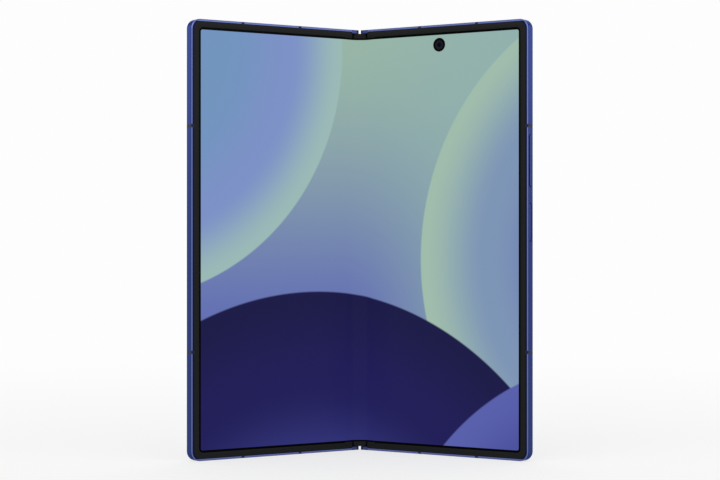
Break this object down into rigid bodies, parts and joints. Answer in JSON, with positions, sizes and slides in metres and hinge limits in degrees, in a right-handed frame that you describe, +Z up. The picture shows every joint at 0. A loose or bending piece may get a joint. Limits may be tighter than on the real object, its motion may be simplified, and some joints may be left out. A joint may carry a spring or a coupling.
{
  "type": "foldable smartphone",
  "caption": "Book-style foldable phone standing half open, with a geared double-axis hinge, an inner folding display and a cover display.",
  "frame": {"origin": "on the ground, under the middle of the standing phone's bounding box", "axes": "+X to the viewer's right, +Y away from the viewer, +Z up along the fold; the inner display faces -Y"},
  "size_m": [0.124, 0.042, 0.1584],
  "materials": {
    "rail_aluminium": "anodised",
    "spine_aluminium": "anodised",
    "antenna_plastic": "moulded",
    "bezel_plastic": "fine matt",
    "folding_display": "satin film over lit panel",
    "cover_panel": "lit panel",
    "clear_glass": "polished",
    "matt_back_glass": "etched matt",
    "lens_glass": "coated",
    "hinge_steel": "ground",
    "spring_steel": "drawn",
    "wing_steel": "rolled",
    "black_polymer": "moulded",
    "battery_pouch": "printed-free foil",
    "circuit_board": "solder mask",
    "shield_steel": "tinned",
    "chip_epoxy": "moulded",
    "copper_wire": "wound",
    "magnet_nickel": "nickel plated",
    "socket_steel": "plated",
    "flex_polyimide": "film",
    "flash_lens": "clear moulding",
    "card_plastic": "card"
  },
  "bodies": {
    "spine": {"spine_cover": "spine_aluminium", "bearing_blocks": "hinge_steel", "fold_caps": "bezel_plastic", "center_support_rail": "hinge_steel", "friction_sleeves": "hinge_steel", "friction_springs": "spring_steel", "spine_screws": "hinge_steel", "display_fold_zone": "folding_display", "hinge_flex_cables": "flex_polyimide"},
    "left_half": {"left_frame": "rail_aluminium", "left_antenna_breaks": "antenna_plastic", "left_bezel": "bezel_plastic", "left_display": "folding_display", "cover_glass": "clear_glass", "cover_display": "cover_panel", "cover_camera": "lens_glass", "left_battery": "battery_pouch", "left_board": "circuit_board", "left_board_screws": "hinge_steel", "earpiece_speaker": "black_polymer", "vibration_motor": "shield_steel", "left_magnets": "magnet_nickel", "left_pivot_pins": "hinge_steel", "sim_reader": "shield_steel"},
    "right_half": {"right_frame": "rail_aluminium", "right_antenna_breaks": "antenna_plastic", "right_bezel": "bezel_plastic", "right_display": "folding_display", "inner_camera": "lens_glass", "back_glass": "matt_back_glass", "camera_island": "rail_aluminium", "lens_rings": "rail_aluminium", "lens_covers": "lens_glass", "wide_camera": "black_polymer", "ultrawide_camera": "black_polymer", "telephoto_camera": "black_polymer", "flash_light": "flash_lens", "main_board": "circuit_board", "main_board_screws": "hinge_steel", "shield_can": "shield_steel", "processor": "chip_epoxy", "right_battery": "battery_pouch", "charging_coil": "copper_wire", "usb_socket": "socket_steel", "usb_board": "circuit_board", "bottom_speaker": "black_polymer", "microphones": "shield_steel", "key_switches": "flex_polyimide", "right_magnets": "magnet_nickel", "right_pivot_pins": "hinge_steel"},
    "left_wing": {"left_wing_plate": "wing_steel"},
    "right_wing": {"right_wing_plate": "wing_steel"},
    "idler_left_top": {"idler_gear_left_top": "hinge_steel"},
    "idler_left_bottom": {"idler_gear_left_bottom": "hinge_steel"},
    "idler_right_top": {"idler_gear_right_top": "hinge_steel"},
    "idler_right_bottom": {"idler_gear_right_bottom": "hinge_steel"},
    "volume_key": {"volume_key": "rail_aluminium"},
    "power_key": {"power_key": "rail_aluminium"},
    "sim_tray": {"sim_tray": "rail_aluminium", "sim_card": "card_plastic"}
  },
  "joints": [
    {"name": "left_fold", "type": "hinge", "parent": "spine", "child": "left_half", "pos_m": [-0.00115, 0.01775, 0], "axis": [0, 0, 1], "range_deg": [-32.75, 57.25], "deforming": ["display_fold_zone", "hinge_flex_cables"]},
    {"name": "right_fold", "type": "hinge", "parent": "spine", "child": "right_half", "pos_m": [0.00115, 0.01775, 0], "axis": [0, 0, -1], "range_deg": [-32.75, 57.25]},
    {"name": "left_wing_tilt", "type": "hinge", "parent": "left_half", "child": "left_wing", "pos_m": [-0.00794, 0.0138, 0], "axis": [0, 0, 1], "range_deg": [-4.38, 7.64]},
    {"name": "right_wing_tilt", "type": "hinge", "parent": "right_half", "child": "right_wing", "pos_m": [0.00794, 0.0138, 0], "axis": [0, 0, -1], "range_deg": [-4.38, 7.64]},
    {"name": "idler_left_top_spin", "type": "hinge", "parent": "spine", "child": "idler_left_top", "pos_m": [-0.0006, 0.01882, 0], "axis": [0, 0, -1], "range_deg": [-32.76, 57.26]},
    {"name": "idler_left_bottom_spin", "type": "hinge", "parent": "spine", "child": "idler_left_bottom", "pos_m": [-0.0006, 0.01882, 0], "axis": [0, 0, -1], "range_deg": [-32.76, 57.26]},
    {"name": "idler_right_top_spin", "type": "hinge", "parent": "spine", "child": "idler_right_top", "pos_m": [0.0006, 0.01882, 0], "axis": [0, 0, 1], "range_deg": [-32.76, 57.26]},
    {"name": "idler_right_bottom_spin", "type": "hinge", "parent": "spine", "child": "idler_right_bottom", "pos_m": [0.0006, 0.01882, 0], "axis": [0, 0, 1], "range_deg": [-32.76, 57.26]},
    {"name": "volume_rock", "type": "hinge", "parent": "right_half", "child": "volume_key", "pos_m": [0.05915, -0.01801, 0.1076], "axis": [-0.541, -0.841, 0], "range_deg": [-1.3, 1.3], "stiffness_Nm_per_rad": 0.35},
    {"name": "power_press", "type": "slide", "parent": "right_half", "child": "power_key", "axis": [-0.841, 0.541, 0], "range_m": [0, 0.00025], "stiffness_N_per_m": 4000},
    {"name": "sim_tray_slide", "type": "slide", "parent": "left_half", "child": "sim_tray", "axis": [0, 0, 1], "range_m": [0, 0.018]}
  ],
  "couplings": [
    {"joint": "right_fold", "follows": "left_fold", "ratio": 1},
    {"joint": "left_wing_tilt", "follows": "left_fold", "ratio": 0.13333},
    {"joint": "right_wing_tilt", "follows": "left_fold", "ratio": 0.13333},
    {"joint": "idler_left_top_spin", "follows": "left_fold", "ratio": 1},
    {"joint": "idler_left_bottom_spin", "follows": "left_fold", "ratio": 1},
    {"joint": "idler_right_top_spin", "follows": "left_fold", "ratio": 1},
    {"joint": "idler_right_bottom_spin", "follows": "left_fold", "ratio": 1}
  ]
}
